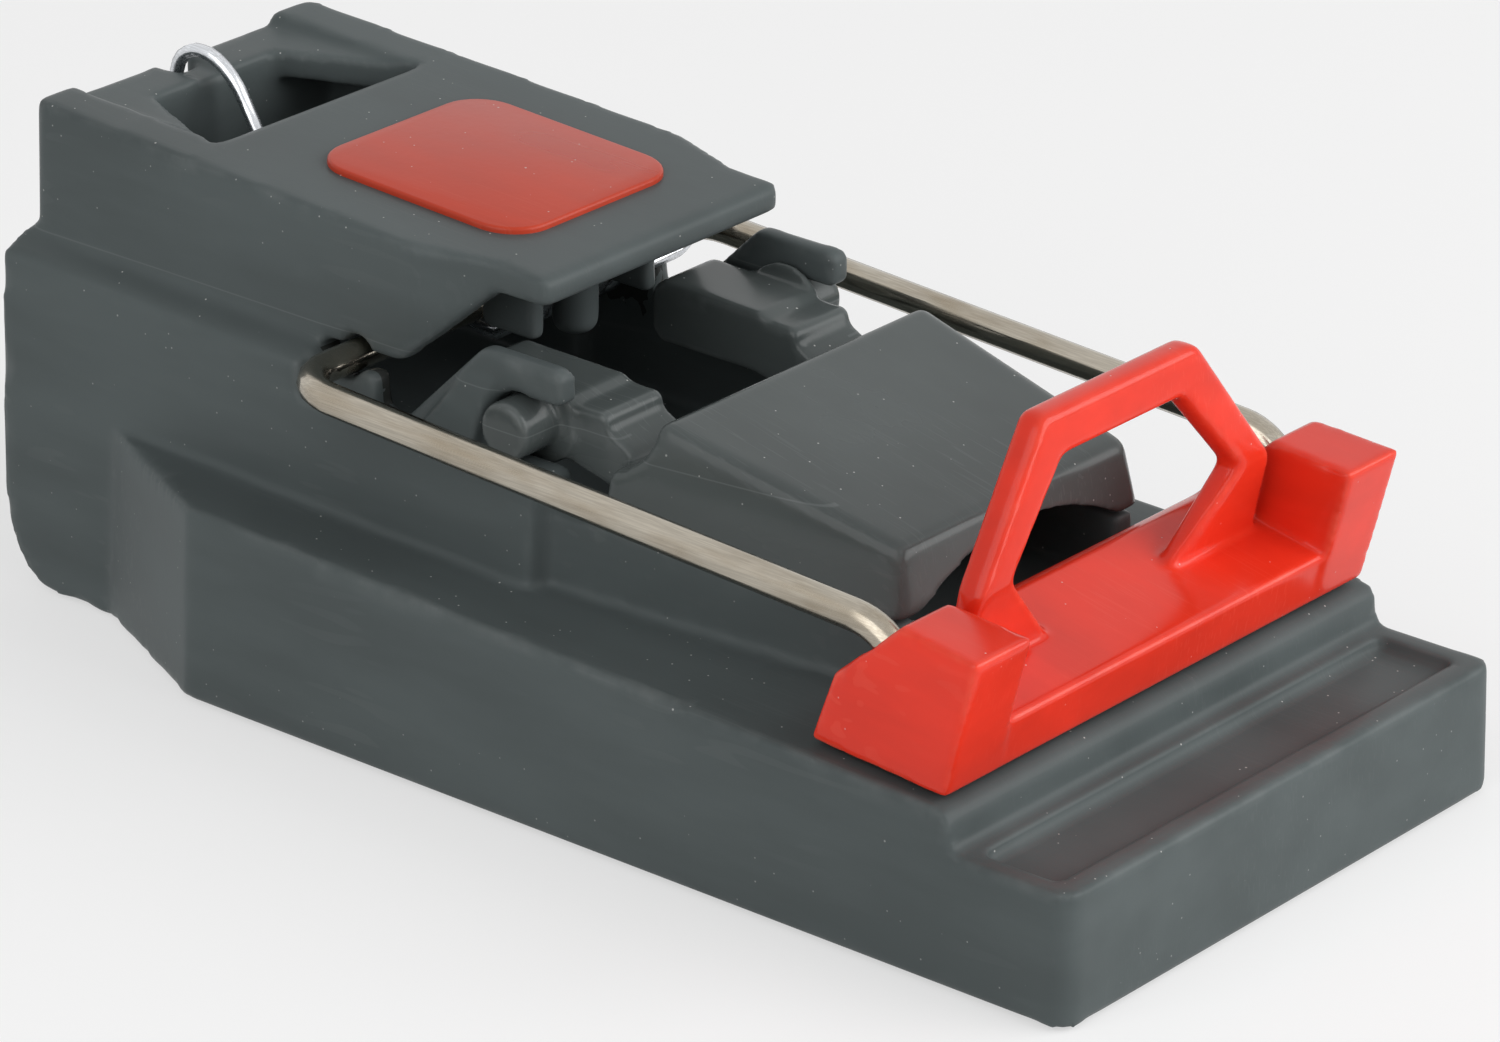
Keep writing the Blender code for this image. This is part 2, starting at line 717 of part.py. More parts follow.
def finger_loop():
    """Six-sided loop whose legs spread into webs between the blocks."""
    foot = striker_floor(LOOP_FRONT) + WALL
    knee = LOOP_KNEE_WIDTH / 2
    side = [(knee, foot), (knee, BLOCK_HEIGHT), (LOOP_TOP_WIDTH / 2, LOOP_HEIGHT)]
    hole = [(HOLE_FOOT_WIDTH / 2, foot + WALL), (HOLE_KNEE_WIDTH / 2, HOLE_KNEE_HEIGHT)]
    hole.append((HOLE_TOP_WIDTH / 2, HOLE_HEIGHT))

    def ring(points, depth):
        return [place(x, depth, z) for x, z in symmetric(points)]

    rear = LOOP_FRONT + LOOP_THICKNESS
    loop = loft("finger loop", ring(side, LOOP_FRONT), ring(side, rear))
    cut(loop, loft("finger hole", ring(hole, LOOP_FRONT - WALL), ring(hole, rear + WALL)))
    return bevel(loop, LOOP_BEVEL)


def build_striker(look):
    striker = join(striker_rail(), *striker_blocks(), finger_loop())
    room = tube("tail room", bar_path(BAR_TAIL + CLEARANCE), BAR_DIAMETER / 2 + CLEARANCE, 4)
    cut(striker, finished_curve(room))
    return dressed(striker, look)


# ---- pedal -------------------------------------------------------------------


def lid_rim(depth):
    """Height of the lid's rim, which lies just over the bait walls."""
    run = SIDE_WALL_FRONT - BAIT_WALL_FRONT
    slope = (BAIT_WALL_REAR_HEIGHT - BAIT_WALL_FRONT_HEIGHT) / run
    return BAIT_WALL_FRONT_HEIGHT + slope * (depth - BAIT_WALL_FRONT) + CLEARANCE


def lid_solid(name, inset, drop):
    """The lid's flared form, drawn in on all sides; a drop carries it past the rim."""
    front = LID_FRONT + inset
    rear = LID_FRONT + LID_LENGTH - inset
    front_top = lid_rim(LID_FRONT) + LID_FRONT_DEPTH - inset
    rear_top = lid_rim(rear) + LID_REAR_DEPTH - inset
    outline = [(front, lid_rim(front) - drop), (front + 3 * CHAMFER, front_top)]
    steps = 4
    for k in range(steps + 1):
        turn = math.pi / 2 * k / steps
        height = rear_top - LID_SWEEP_FALL * math.sin(turn)
        outline.append((rear - LID_REAR_SWEEP * math.cos(turn), height))
    outline.append((rear, lid_rim(rear) - drop))
    low = lid_rim(front) - WALL
    high = rear_top + WALL
    spread = LID_FLARE * (lid_rim(front) - low)
    narrow = LID_FLARE * (high - lid_rim(front))

    def plan(change):
        front_half = LID_FRONT_WIDTH / 2 - inset + change
        rear_half = LID_REAR_WIDTH / 2 - inset + change
        return symmetric([(front_half, LID_FRONT), (rear_half, LID_FRONT + LID_LENGTH)])

    form = column(name, plan(spread), plan(-narrow), low, high)
    return keep(form, slab("lid outline", outline, FAR))


def arm(side):
    """Arm from the lid's rear, over the well, to the catch in the tower."""
    middle = side * ARM_SPACING / 2
    top = PIN_HEIGHT + ARM_TOP_RISE
    bottom = PIN_HEIGHT - ARM_DROP
    root = LID_FRONT + LID_LENGTH
    neck = bottom + ARM_NECK
    outline = [
        (ARM_REAR, top - ARM_REAR_CHAMFER),
        (ARM_REAR - ARM_REAR_CHAMFER, top),
        (ARM_STEP, top - CHAMFER / 2),
        (ARM_STEP - 2 * CHAMFER, top - 2 * CHAMFER),
        (ARM_FRONT, top - 2 * CHAMFER),
        (ARM_FRONT - CHAMFER, top - ARM_FRONT_HEIGHT),
        (root, neck),
        (root - LID_WALL / 2, neck - 2 * CHAMFER),
        (root - LID_WALL / 2, lid_rim(root) + LID_WALL),
        (root + LID_WALL, lid_rim(root) + LID_WALL),
        (PIN_DEPTH - PIN_DIAMETER / 2, bottom),
        (ARM_REAR - ARM_REAR_CHAMFER, bottom),
        (ARM_REAR, bottom + ARM_REAR_CHAMFER),
    ]
    made = slab("arm", outline, middle + ARM_WIDTH / 2, middle - ARM_WIDTH / 2)
    return bevel(made, CHAMFER, 1)


def build_pedal(look):
    pedal = bevel(lid_solid("trip_pedal", 0, 0), LID_BEVEL, 2, 40)
    cut(pedal, lid_solid("lid hollow", LID_WALL, WALL))
    for side in (-1, 1):
        start = side * (ARM_SPACING / 2 + ARM_WIDTH / 4)
        pin = cylinder("pin", PIN_DIAMETER / 2, *sorted((start, side * PIN_SPAN / 2)), PIN_DEPTH, PIN_HEIGHT)
        face = side * (ARM_SPACING / 2 + ARM_WIDTH / 2 + CLEARANCE)
        ends = sorted((face, face - side * COLLAR_THICKNESS))
        collar = cylinder("collar", COLLAR_RADIUS, *ends, PIN_DEPTH, PIN_HEIGHT)
        join(pedal, arm(side), collar, bevel(pin, CHAMFER, 1, 60))
    arch_half = ARCH_WIDTH / 2
    radius = (arch_half**2 + ARCH_RISE**2) / (2 * ARCH_RISE)
    crown = lid_rim(LID_FRONT) + ARCH_RISE

    def arch_ring(depth):
        return [place(u, depth, crown - radius + v) for u, v in circle(radius, 64)]

    cut(pedal, loft("arch", arch_ring(LID_FRONT - WALL), arch_ring(LID_FRONT + 2 * LID_WALL)))
    return dressed(pedal, look)


# ---- torsion spring ----------------------------------------------------------


def softened(path, reach, steps=3):
    """Path with its inner corners turned into short curves, which start a reach away from them."""
    points = [Vector(point) for point in path]
    result = [points[0]]
    for before, corner, after in zip(points, points[1:], points[2:]):
        start = corner.lerp(before, min(0.5, reach / (before - corner).length))
        end = corner.lerp(after, min(0.5, reach / (after - corner).length))
        for k in range(steps + 1):
            share = k / steps
            result.append(start.lerp(corner, share).lerp(corner.lerp(end, share), share))
    result.append(points[-1])
    return result


def spring_path():
    """Hook over the rear wall, leg, coil round the axle, leg over the bar's far arm."""
    mean = COIL_DIAMETER / 2
    wire = SPRING_WIRE / 2
    outside = TOWER_REAR - GROOVE_DEPTH + wire + 2 * CLEARANCE
    top = CHANNEL_HEIGHT + HOOK_RISE
    inside = WELL_REAR - wire - 3 * CLEARANCE
    hook = [
        (0, outside, CHANNEL_HEIGHT - HOOK_END),
        (0, outside, top - SPRING_WIRE),
        (0, (outside + inside) / 2, top + wire),
        (0, inside - wire, top - SPRING_WIRE),
        (0, inside - HOOK_RUN, CHANNEL_HEIGHT - HOOK_LEG),
    ]
    hook = softened(hook, HOOK_BEND, 4)
    rise = hook[-1][2] - AXLE_HEIGHT
    run = hook[-1][1] - AXLE_DEPTH
    leave = math.atan2(rise, run) - math.pi / 2 + math.asin(mean / math.hypot(rise, run))
    start = math.pi - leave
    turns = COIL_TURNS + (2 * math.pi - start) / (2 * math.pi)
    count = round(turns * COIL_POINTS)
    coil = []
    for k in range(count + 1):
        angle = start + 2 * math.pi * turns * k / count
        x = COIL_START + (COIL_END - COIL_START) * k / count
        coil.append((x, AXLE_DEPTH - mean * math.cos(angle), AXLE_HEIGHT + mean * math.sin(angle)))
    front = SADDLE_FRONT - CLEARANCE - wire
    under = CHEEK_HEIGHT - CLEARANCE - wire
    over = AXLE_HEIGHT + BAR_DIAMETER / 2 + CLEARANCE + wire
    saddle_side = WELL_WIDTH / 2 + SADDLE_THICKNESS
    arm_side = (BAR_SPAN - BAR_DIAMETER) / 2
    leg = [
        (COIL_END + SPRING_WIRE, front, under),
        (saddle_side, front, under),
        (arm_side - SPRING_WIRE, front, over),
        (arm_side + BAR_DIAMETER / 2, front, over),
    ]
    return [place(*point) for point in hook + coil[:-1] + softened([coil[-1]] + leg, LEG_BEND)[1:]]


def least_gap(path, wire):
    """Least distance between the wire's own turns, over points not next to each other."""
    least = math.inf
    skip = COIL_POINTS // 2
    for i, point in enumerate(path):
        for other in path[i + skip :]:
            if math.dist(point, other) < least and abs(point[0] - other[0]) > wire / 2:
                least = math.dist(point, other)
    return least - wire


def build_spring(look):
    path = spring_path()
    print(f"torsion_spring least gap to itself: {least_gap(path, SPRING_WIRE) * 1000:.2f} mm")
    return dressed(finished_curve(tube("torsion_spring", path, SPRING_WIRE / 2, 1)), look)


# ---- assembly ----------------------------------------------------------------


def pivot(target, depth, z):
    """Put a moving piece's origin on its joint's axis, leaving its shape in place."""
    x, y, height = place(0, depth, z)
    for vertex in target.data.vertices:
        vertex.co.x -= x
        vertex.co.y -= y
        vertex.co.z -= height
    target.location = (x, y, height)


def main():
    for old in list(bpy.data.objects):
        bpy.data.objects.remove(old)
    grey = material("Grey satin plastic", (0.075, 0.083, 0.085), 0.45)
    dark = material("Dark satin plastic", (0.055, 0.061, 0.064), 0.38)
    red = material("Red gloss plastic", (0.80, 0.055, 0.025), 0.30)
    nickel = material("Nickel steel wire", (0.60, 0.56, 0.48), 0.28, 1.0)
    zinc = material("Bright zinc wire", (0.78, 0.80, 0.82), 0.22, 1.0)
    build_base(grey)
    build_spring(zinc)
    for piece in (build_kill_bar(nickel), build_striker(red)):
        pivot(piece, AXLE_DEPTH, AXLE_HEIGHT)
    pivot(build_pedal(dark), PIN_DEPTH, PIN_HEIGHT)


main()
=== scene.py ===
import math

import bmesh
import bpy
from mathutils import Matrix, Vector


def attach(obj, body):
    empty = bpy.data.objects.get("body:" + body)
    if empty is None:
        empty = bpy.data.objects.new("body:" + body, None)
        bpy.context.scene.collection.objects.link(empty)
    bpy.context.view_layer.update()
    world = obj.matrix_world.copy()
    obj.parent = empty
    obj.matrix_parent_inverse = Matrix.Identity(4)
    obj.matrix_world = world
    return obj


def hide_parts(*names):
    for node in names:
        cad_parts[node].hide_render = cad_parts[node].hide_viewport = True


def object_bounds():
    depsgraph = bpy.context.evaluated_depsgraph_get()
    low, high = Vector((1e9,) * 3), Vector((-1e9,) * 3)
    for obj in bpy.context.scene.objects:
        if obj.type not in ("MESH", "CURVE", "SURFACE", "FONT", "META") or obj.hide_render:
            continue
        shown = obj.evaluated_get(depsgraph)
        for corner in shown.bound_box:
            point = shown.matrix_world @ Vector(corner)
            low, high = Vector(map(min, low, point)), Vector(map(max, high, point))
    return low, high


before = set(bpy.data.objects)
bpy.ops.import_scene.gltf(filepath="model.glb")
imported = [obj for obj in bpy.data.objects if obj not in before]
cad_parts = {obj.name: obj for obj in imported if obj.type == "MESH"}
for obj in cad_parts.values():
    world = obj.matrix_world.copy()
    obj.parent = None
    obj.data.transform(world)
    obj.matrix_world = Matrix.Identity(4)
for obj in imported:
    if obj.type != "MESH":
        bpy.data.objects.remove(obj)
cad_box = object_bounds()


# ---- Camera and studio -------------------------------------------------------
# A long lens looks down on the trap from its front left corner. Two soft boxes and a white
# world light it, and it stands on a pale floor that fades into the background.

scene = bpy.context.scene
scene.view_settings.view_transform = "Standard"

camera_data = bpy.data.cameras.new("camera")
camera_data.lens = 173.5
camera_data.sensor_width = 36.0
camera_data.shift_x = 0.0056
camera_data.shift_y = 0.0048
camera_data.clip_start = 0.05
camera = bpy.data.objects.new("camera", camera_data)
scene.collection.objects.link(camera)
camera_place = (-0.3800, -0.3113, 0.2287)
line_of_sight = Vector((0.712, 0.576, -0.401))
roll = math.radians(1.0)
turn = line_of_sight.to_track_quat("-Z", "Y").to_matrix() @ Matrix.Rotation(roll, 3, "Z")
camera.matrix_world = Matrix.Translation(camera_place) @ turn.to_4x4()
scene.camera = camera


def soft_box(name, place, target, size, watts):
    """Rectangular lamp that faces its target."""
    data = bpy.data.lights.new(name, "AREA")
    data.shape = "RECTANGLE"
    data.size, data.size_y = size
    data.energy = watts
    lamp = bpy.data.objects.new(name, data)
    aim = Vector(target) - Vector(place)
    lamp.matrix_world = Matrix.Translation(place) @ aim.to_track_quat("-Z", "Y").to_matrix().to_4x4()
    scene.collection.objects.link(lamp)


soft_box("key light", place=(0.30, -0.60, 0.36), target=(0, -0.02, 0.02), size=(0.75, 0.60), watts=4.9)
soft_box("side light", place=(-0.60, -0.05, 0.36), target=(0, 0, 0.02), size=(0.6, 0.6), watts=1.9)


def put(tree, kind, values=(), **settings):
    """One shader node with its settings, and its inputs set or linked by name."""
    made = tree.nodes.new("ShaderNode" + kind)
    for name, setting in settings.items():
        setattr(made, name, setting)
    for socket, value in dict(values).items():
        if isinstance(value, bpy.types.NodeSocket):
            tree.links.new(value, made.inputs[socket])
        else:
            made.inputs[socket].default_value = value
    return made


def seen_directly(tree):
    """1 for the camera's, mirrored and see-through rays, and 0 for the rays that carry light."""
    rays = put(tree, "LightPath").outputs
    direct = put(tree, "Math", {0: rays["Is Camera Ray"], 1: rays["Is Glossy Ray"]}, operation="MAXIMUM")
    either = {0: direct.outputs[0], 1: rays["Is Transmission Ray"]}
    return put(tree, "Math", either, operation="MAXIMUM").outputs[0]


world_fill = 0.36
background_white = 1.0
world = bpy.data.worlds.new("studio")
world.use_nodes = True
scene.world = world
sky = world.node_tree
sky.nodes.clear()
fill = put(sky, "Background", {"Color": (1, 1, 1, 1), "Strength": world_fill})
white = put(sky, "Background", {"Color": (1, 1, 1, 1), "Strength": background_white})
choice = put(sky, "MixShader", {0: seen_directly(sky), 1: fill.outputs[0], 2: white.outputs[0]})
put(sky, "OutputWorld", {"Surface": choice.outputs[0]})

floor_half_size = 2.0
floor_gap = 0.0002  # below the trap's rim
floor_colour = (0.92, 0.92, 0.92, 1)
floor_roughness = 0.7
floor_fade = 0.55  # share of white that the camera and reflections see in the floor
floor_mesh = bmesh.new()
bmesh.ops.create_grid(floor_mesh, x_segments=1, y_segments=1, size=floor_half_size)
bmesh.ops.translate(floor_mesh, verts=floor_mesh.verts, vec=(0, 0, cad_box[0][2] - floor_gap))
floor_data = bpy.data.meshes.new("floor")
floor_mesh.to_mesh(floor_data)
floor_mesh.free()
floor = bpy.data.objects.new("floor", floor_data)
scene.collection.objects.link(floor)
floor_paint = bpy.data.materials.new("Pale floor")
floor_paint.use_nodes = True
ground = floor_paint.node_tree
matt = ground.nodes["Principled BSDF"]
matt.inputs["Base Color"].default_value = floor_colour
matt.inputs["Roughness"].default_value = floor_roughness
paler = put(ground, "Math", {0: seen_directly(ground), 1: floor_fade}, operation="MULTIPLY")
glow = put(ground, "Emission", {"Color": (1, 1, 1, 1), "Strength": background_white})
faded = put(ground, "MixShader", {0: paler.outputs[0], 1: matt.outputs[0], 2: glow.outputs[0]})
ground.links.new(faded.outputs[0], ground.nodes["Material Output"].inputs["Surface"])
floor_data.materials.append(floor_paint)


# ---- Base --------------------------------------------------------------------
# One injection moulding in grey plastic with a satin, spark-eroded skin: ledge, deck, walls,
# saddles, ears and tower. The tool's edges leave small radii, and a little grease from the
# spring has crept over the saddles; its dark is also painted shade in the gap under the ears.

merge_distance = 2e-6


def merged_copy(node):
    """Copy of a CAD node's mesh with its loose triangles joined up."""
    work = bmesh.new()
    work.from_mesh(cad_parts[node].data)
    bmesh.ops.remove_doubles(work, verts=work.verts, dist=merge_distance)
    return work


flat_angle = math.radians(1.0)  # faces that meet closer to flat than this are joined
corner_angle = 1.2  # radians: long edges sharper than this are rounded before the grid is laid
corner_width = 1.6  # of that rounding, in steps of the grid
grid_thinning = 7  # flat stretches get fewer faces, and may stray by the grid's step over this
smoothing = 0.5  # share of the way to its neighbours that a point goes in one pass
edge_depth = 0.4  # in steps of the grid: how far a full edge sinks as it is smoothed
edge_start = 0.3  # share of that at which the rubbed look sets in


def soften(work, grid, passes, least_length=0.003):
    """Round the long edges, lay the moulding on a fine even grid, and smooth it into soft corners."""
    bmesh.ops.dissolve_limit(work, angle_limit=flat_angle, verts=work.verts, edges=work.edges)
    long_edges = [e for e in work.edges if e.is_manifold and e.calc_length() > least_length]
    corners = [e for e in long_edges if e.calc_face_angle_signed() > corner_angle]
    bmesh.ops.bevel(
        work,
        geom=corners,
        offset=corner_width * grid,
        offset_type="OFFSET",
        segments=2,
        profile=0.5,
        affect="EDGES",
        material=-1,
        clamp_overlap=True,
    )
    rough = bpy.data.meshes.new("rough")
    work.to_mesh(rough)
    holder = bpy.data.objects.new("rough", rough)
    scene.collection.objects.link(holder)
    even = holder.modifiers.new("Even grid", "REMESH")
    even.mode = "VOXEL"
    even.voxel_size = grid
    even.adaptivity = grid / grid_thinning
    finished = holder.evaluated_get(bpy.context.evaluated_depsgraph_get())
    work.clear()
    work.from_mesh(finished.to_mesh())
    finished.to_mesh_clear()
    bpy.data.objects.remove(holder)
    bpy.data.meshes.remove(rough)
    before = [vert.co.copy() for vert in work.verts]
    for _ in range(passes):
        bmesh.ops.smooth_vert(
            work, verts=work.verts, factor=smoothing, use_axis_x=True, use_axis_y=True, use_axis_z=True
        )
    work.normal_update()
    marked = work.verts.layers.float.new("edge")
    for vert, start in zip(work.verts, before):
        sunk = (start - vert.co).dot(vert.normal)
        vert[marked] = min(1.0, max(0.0, sunk / (edge_depth * grid) - edge_start))


crease_angle = math.radians(50.0)  # edges sharper than this keep a hard shade


def show_in_place(name, node, body, work, look):
    """Finish a mesh as the visible piece of a CAD node."""
    for face in work.faces:
        face.smooth = True
    data = bpy.data.meshes.new(name)
    work.to_mesh(data)
    work.free()
    data.set_sharp_from_angle(angle=crease_angle)
    piece = bpy.data.objects.new(name, data)
    scene.collection.objects.link(piece)
    even = piece.modifiers.new("Even shading", "WEIGHTED_NORMAL")
    even.keep_sharp = True
    even.weight = 80
    data.materials.append(look)
    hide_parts(node)
    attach(piece, body)


def new_group(name, inputs, outputs):
    """Empty shader group with float inputs and outputs; returns its tree and both ends."""
    tree = bpy.data.node_groups.new(name, "ShaderNodeTree")
    for label, value in inputs:
        tree.interface.new_socket(label, in_out="INPUT", socket_type="NodeSocketFloat").default_value = value
    for label in outputs:
        tree.interface.new_socket(label, in_out="OUTPUT", socket_type="NodeSocketFloat")
    return tree, tree.nodes.new("NodeGroupInput").outputs, tree.nodes.new("NodeGroupOutput").inputs


def math_node(tree, operation, first, second=0.0, clamp=False):
    """Output of a Math node on two values or sockets."""
    made = put(tree, "Math", {0: first, 1: second}, operation=operation)
    made.use_clamp = clamp
    return made.outputs[0]


def between(tree, value, low, high, to_low=0.0, to_high=1.0):
    """The value carried from the range low..high to the range to_low..to_high, and held there."""
    values = {"Value": value, "From Min": low, "From Max": high, "To Min": to_low, "To Max": to_high}
    return put(tree, "MapRange", values).outputs[0]


def use_group(tree, group, **values):
    """Outputs of a shader group placed in a material with its own values."""
    made = tree.nodes.new("ShaderNodeGroup")
    made.node_tree = group
    for name, value in values.items():
        made.inputs[name].default_value = value
    return made.outputs


# Skin of a moulding: fine even grain, and broad patches where the melt flowed and cooled.
moulded_skin, skin_in, skin_out = new_group("Moulded skin", [("Grain", 5200.0)], ["Height", "Patches"])
place = put(moulded_skin, "TexCoord").outputs["Object"]
coarse = put(moulded_skin, "TexNoise", {"Vector": place, "Scale": skin_in["Grain"], "Detail": 2.0})
waves = put(moulded_skin, "TexNoise", {"Vector": place, "Scale": 700.0, "Detail": 1.0})
soft = math_node(moulded_skin, "MULTIPLY", waves.outputs["Fac"], 1.4)
moulded_skin.links.new(math_node(moulded_skin, "ADD", coarse.outputs["Fac"], soft), skin_out["Height"])
flow = put(moulded_skin, "Mapping", {"Vector": place, "Scale": (1.0, 0.35, 1.6)})
clouds = put(moulded_skin, "TexNoise", {"Vector": flow.outputs[0], "Scale": 110.0, "Detail": 4.0})
moulded_skin.links.new(between(moulded_skin, clouds.outputs["Fac"], 0.35, 0.65), skin_out["Patches"])

# Dust: scattered pale specks of two sizes, most of them on what faces up.
dust, dust_in, dust_out = new_group("Dust specks", [("Amount", 0.5)], ["Mask"])
place = put(dust, "TexCoord").outputs["Object"]
dust_colour = (0.62, 0.62, 0.60)
speck_sizes = ((900.0, 0.075), (300.0, 0.032))  # cells in a metre, and a speck's radius in its cell
layers = []
for scale, radius in speck_sizes:
    cells = put(dust, "TexVoronoi", {"Vector": place, "Scale": scale}, voronoi_dimensions="3D")
    spot = between(dust, cells.outputs["Distance"], radius, radius * 0.55)
    draw = put(dust, "SeparateColor", {0: cells.outputs["Color"]}).outputs[0]
    keep = math_node(dust, "LESS_THAN", draw, dust_in["Amount"])
    layers.append(math_node(dust, "MULTIPLY", spot, keep))
facing = put(dust, "SeparateXYZ", {0: put(dust, "NewGeometry").outputs["Normal"]}).outputs["Z"]
lying = between(dust, facing, -0.2, 0.7, 0.25, 1.0)
both = math_node(dust, "MAXIMUM", layers[0], layers[1])
dust.links.new(math_node(dust, "MULTIPLY", both, lying), dust_out["Mask"])

# Hairline scratches in two crossing directions, gathered in patches.
hairlines, hair_in, hair_out = new_group("Hairline scratches", [("Amount", 0.5)], ["Mask"])
place = put(hairlines, "TexCoord").outputs["Object"]
hair_stretch = (5200.0, 130.0, 900.0)
hair_turns = ((0.55, 0.705), (-1.1, 0.715))  # radians about Z, and how rare the hairs are
layers = []
for turned, cut_off in hair_turns:
    stretch = {"Vector": place, "Rotation": (0.2, 0.1, turned), "Scale": hair_stretch}
    along = put(hairlines, "Mapping", stretch)
    lines = put(hairlines, "TexNoise", {"Vector": along.outputs[0], "Scale": 1.0, "Detail": 0.0})
    layers.append(between(hairlines, lines.outputs["Fac"], cut_off, cut_off + 0.02))
gathered = put(hairlines, "TexNoise", {"Vector": place, "Scale": 60.0, "Detail": 1.0})
where = between(hairlines, gathered.outputs["Fac"], 0.45, 0.62)
lines = math_node(hairlines, "MULTIPLY", math_node(hairlines, "MAXIMUM", *layers), where)
hairlines.links.new(math_node(hairlines, "MULTIPLY", lines, hair_in["Amount"]), hair_out["Mask"])

# Rubbed edges: the rounding of a piece's edges, broken up as handling wears it.
rubbed, rub_in, rub_out = new_group("Rubbed edges", [("Amount", 0.5)], ["Mask"])
rounding = put(rubbed, "Attribute", attribute_name="edge").outputs["Fac"]
place = put(rubbed, "TexCoord").outputs["Object"]
breaks = put(rubbed, "TexNoise", {"Vector": place, "Scale": 260.0, "Detail": 3.0})
worn = between(rubbed, breaks.outputs["Fac"], 0.38, 0.68)
patchy = math_node(rubbed, "MULTIPLY", rounding, worn)
rubbed.links.new(math_node(rubbed, "MULTIPLY", patchy, rub_in["Amount"]), rub_out["Mask"])

# Grease round the axle, where it turns in the saddles and carries the spring. Its dark colour
# is also painted shade in the gap under the ears, where the saddles lie.
grease_and_shade_colour = (0.020, 0.019, 0.016)
axle_y, axle_z = 0.0203, 0.0267
grease_and_shade_top = 0.0266
grease_and_shade_half_width = 0.0160  # it stays off the walls' outer faces
grease_and_shade, grease_and_shade_in, grease_and_shade_out = new_group("Axle grease and painted shade", [("Reach", 0.0045)], ["Mask"])
place = put(grease_and_shade, "TexCoord").outputs["Object"]
parts = put(grease_and_shade, "SeparateXYZ", {0: place}).outputs
away = math_node(grease_and_shade, "SUBTRACT", parts["Y"], axle_y)
above = math_node(grease_and_shade, "SUBTRACT", parts["Z"], axle_z)
away_squared = math_node(grease_and_shade, "MULTIPLY", away, away)
above_squared = math_node(grease_and_shade, "MULTIPLY", above, above)
squares = math_node(grease_and_shade, "ADD", away_squared, above_squared)
distance = math_node(grease_and_shade, "SQRT", squares)
smear = put(grease_and_shade, "TexNoise", {"Vector": place, "Scale": 420.0, "Detail": 3.0}).outputs["Fac"]
ragged = math_node(grease_and_shade, "ADD", distance, between(grease_and_shade, smear, 0.3, 0.7, -0.0014, 0.0014))
near = math_node(grease_and_shade, "LESS_THAN", ragged, grease_and_shade_in["Reach"])
low = math_node(grease_and_shade, "LESS_THAN", parts["Z"], grease_and_shade_top)
aside = math_node(grease_and_shade, "ABSOLUTE", parts["X"])
inside = math_node(grease_and_shade, "LESS_THAN", aside, grease_and_shade_half_width)
within = math_node(grease_and_shade, "MULTIPLY", low, inside)
grease_and_shade.links.new(math_node(grease_and_shade, "MULTIPLY", near, within), grease_and_shade_out["Mask"])

# Parting line: a hair of pale flash where the two halves of the tool met, at one height, on
# what lies beyond a distance from the trap's middle.
flash_core, flash_edge = 0.00003, 0.00007  # above and below the height, full and faded out
parting, part_in, part_out = new_group("Parting line", [("Height", 0.0), ("Beyond", 0.0)], ["Mask"])
parts = put(parting, "SeparateXYZ", {0: put(parting, "TexCoord").outputs["Object"]}).outputs
level = math_node(parting, "SUBTRACT", parts["Z"], part_in["Height"])
line = between(parting, math_node(parting, "ABSOLUTE", level), flash_edge, flash_core)
aside = math_node(parting, "ABSOLUTE", parts["X"])
outer = math_node(parting, "GREATER_THAN", aside, part_in["Beyond"])
parting.links.new(math_node(parting, "MULTIPLY", line, outer), part_out["Mask"])


def blend_colour(tree, mask, under, over):
    """The colour over laid on the colour under through a mask."""
    made = tree.nodes.new("ShaderNodeMix")
    made.data_type = "RGBA"
    for index, value in ((0, mask), (6, under), (7, over)):
        if isinstance(value, bpy.types.NodeSocket):
            tree.links.new(value, made.inputs[index])
        else:
            made.inputs[index].default_value = value if index == 0 else (*value, 1)
    return made.outputs[2]


coat_roughness = 0.12
patch_dark, patch_light = 0.90, 1.09  # of the plastic's own colour
patch_smooth, patch_rough = -0.03, 0.04  # added to its roughness
rub_polish = 0.08  # taken off its roughness
hairline_strength = 0.35
flash_strength = 0.45
# how far the dark covers, partly real grease and partly painted shade in the gap, and the grease's polish
grease_and_shade_cover, grease_polish = 0.75, 0.26
dust_cover, dust_dullness = 0.75, 0.3


